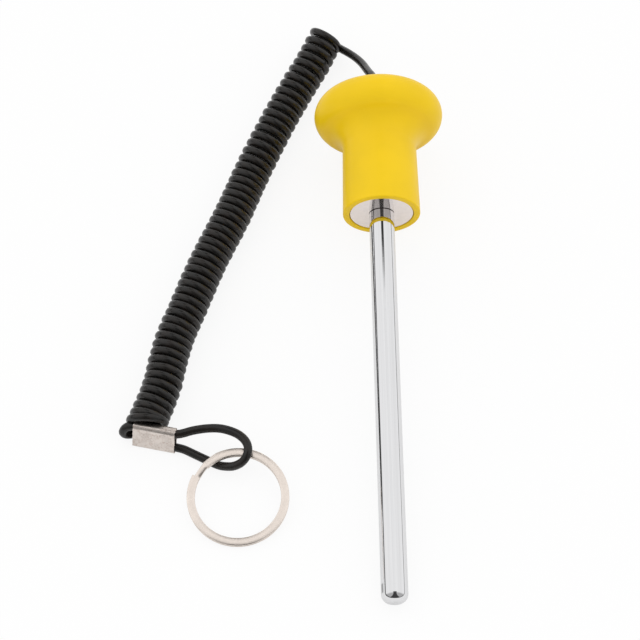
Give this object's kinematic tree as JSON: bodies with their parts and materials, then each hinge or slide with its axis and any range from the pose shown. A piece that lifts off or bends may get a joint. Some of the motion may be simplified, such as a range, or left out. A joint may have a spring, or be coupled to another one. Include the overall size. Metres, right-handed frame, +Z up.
{
  "type": "weight stack pin",
  "caption": "Steel selector pin with a flanged grip knob, a ring magnet, a curly tether cord and a split ring on its looped end.",
  "frame": {"origin": "middle of the lying pin and knob, seen from above, on the surface that they lie on", "axes": "+Z up, +Y along the pin towards the knob's crown, and the curly cord lies on the -X side"},
  "size_m": [0.1222, 0.2555, 0.0493],
  "materials": {
    "yellow_plastic": "satin moulded plastic",
    "chromed_steel": "polished and plated",
    "nickel_plate": "bright nickel plate",
    "sleeve_metal": "crimped",
    "cord_plastic": "satin extruded plastic",
    "ferrule_metal": "crimped sheet",
    "ring_steel": "nickel-plated, lightly scratched"
  },
  "bodies": {
    "pin_and_cord": {"knob": "yellow_plastic", "pin": "chromed_steel", "magnet": "nickel_plate", "cord_stop": "sleeve_metal", "cord_lead": "cord_plastic", "cord_coil": "cord_plastic", "cord_loop": "cord_plastic", "ferrule": "ferrule_metal"},
    "ring": {"split_ring": "ring_steel"}
  },
  "joints": [
    {"name": "ring_swing", "type": "hinge", "parent": "pin_and_cord", "child": "ring", "pos_m": [-0.0565, -0.0483, 0.0042], "axis": [-0.8837, 0.3976, -0.247], "range_deg": [0, 90]}
  ]
}
